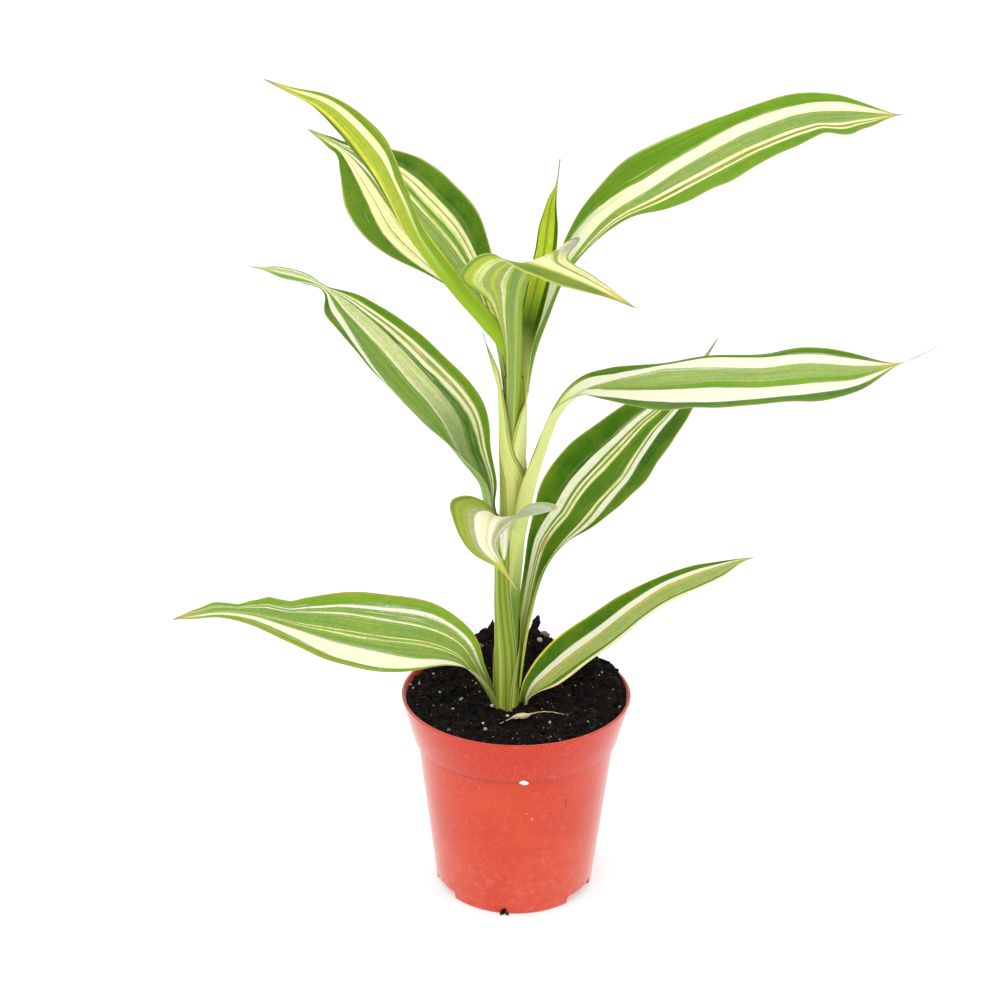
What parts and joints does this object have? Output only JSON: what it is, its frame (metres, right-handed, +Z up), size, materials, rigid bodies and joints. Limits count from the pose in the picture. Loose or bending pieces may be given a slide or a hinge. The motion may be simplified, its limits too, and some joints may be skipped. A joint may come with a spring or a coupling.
{
  "type": "potted ribbon plant",
  "caption": "Small nursery pot of peat with one sheathed cane and long striped arching leaves; stands on its flat base.",
  "frame": {"origin": "centre of the flat underside of the pot's floor, on the pot's axis", "axes": "+Z up along the pot's axis; -Y is the side the plant is looked at from; +X to that viewer's right"},
  "size_m": [0.2791, 0.1496, 0.3259],
  "materials": {
    "pot_plastic": "satin moulded plastic, orange-red",
    "peat": "moist dark peat with white perlite specks",
    "bark": "rough dark bark",
    "sheath": "smooth green and cream leaf sheath",
    "straw": "dry straw",
    "leaf": "waxy green leaf with cream stripes"
  },
  "bodies": {
    "root": {"pot": "pot_plastic", "soil": "peat", "bark_chip_left": "bark", "bark_chip_right": "bark", "stem": "sheath", "sheath_tip": "sheath", "dry_stalk": "straw", "leaf_lower_left": "leaf", "leaf_lower_right": "leaf", "leaf_middle_right_rear": "leaf", "leaf_small_front": "leaf", "leaf_middle_left": "leaf", "leaf_middle_right": "leaf", "leaf_top_left": "leaf", "leaf_top_left_rear": "leaf", "leaf_top_right": "leaf", "leaf_top_front": "leaf", "leaf_young": "leaf"}
  },
  "joints": []
}
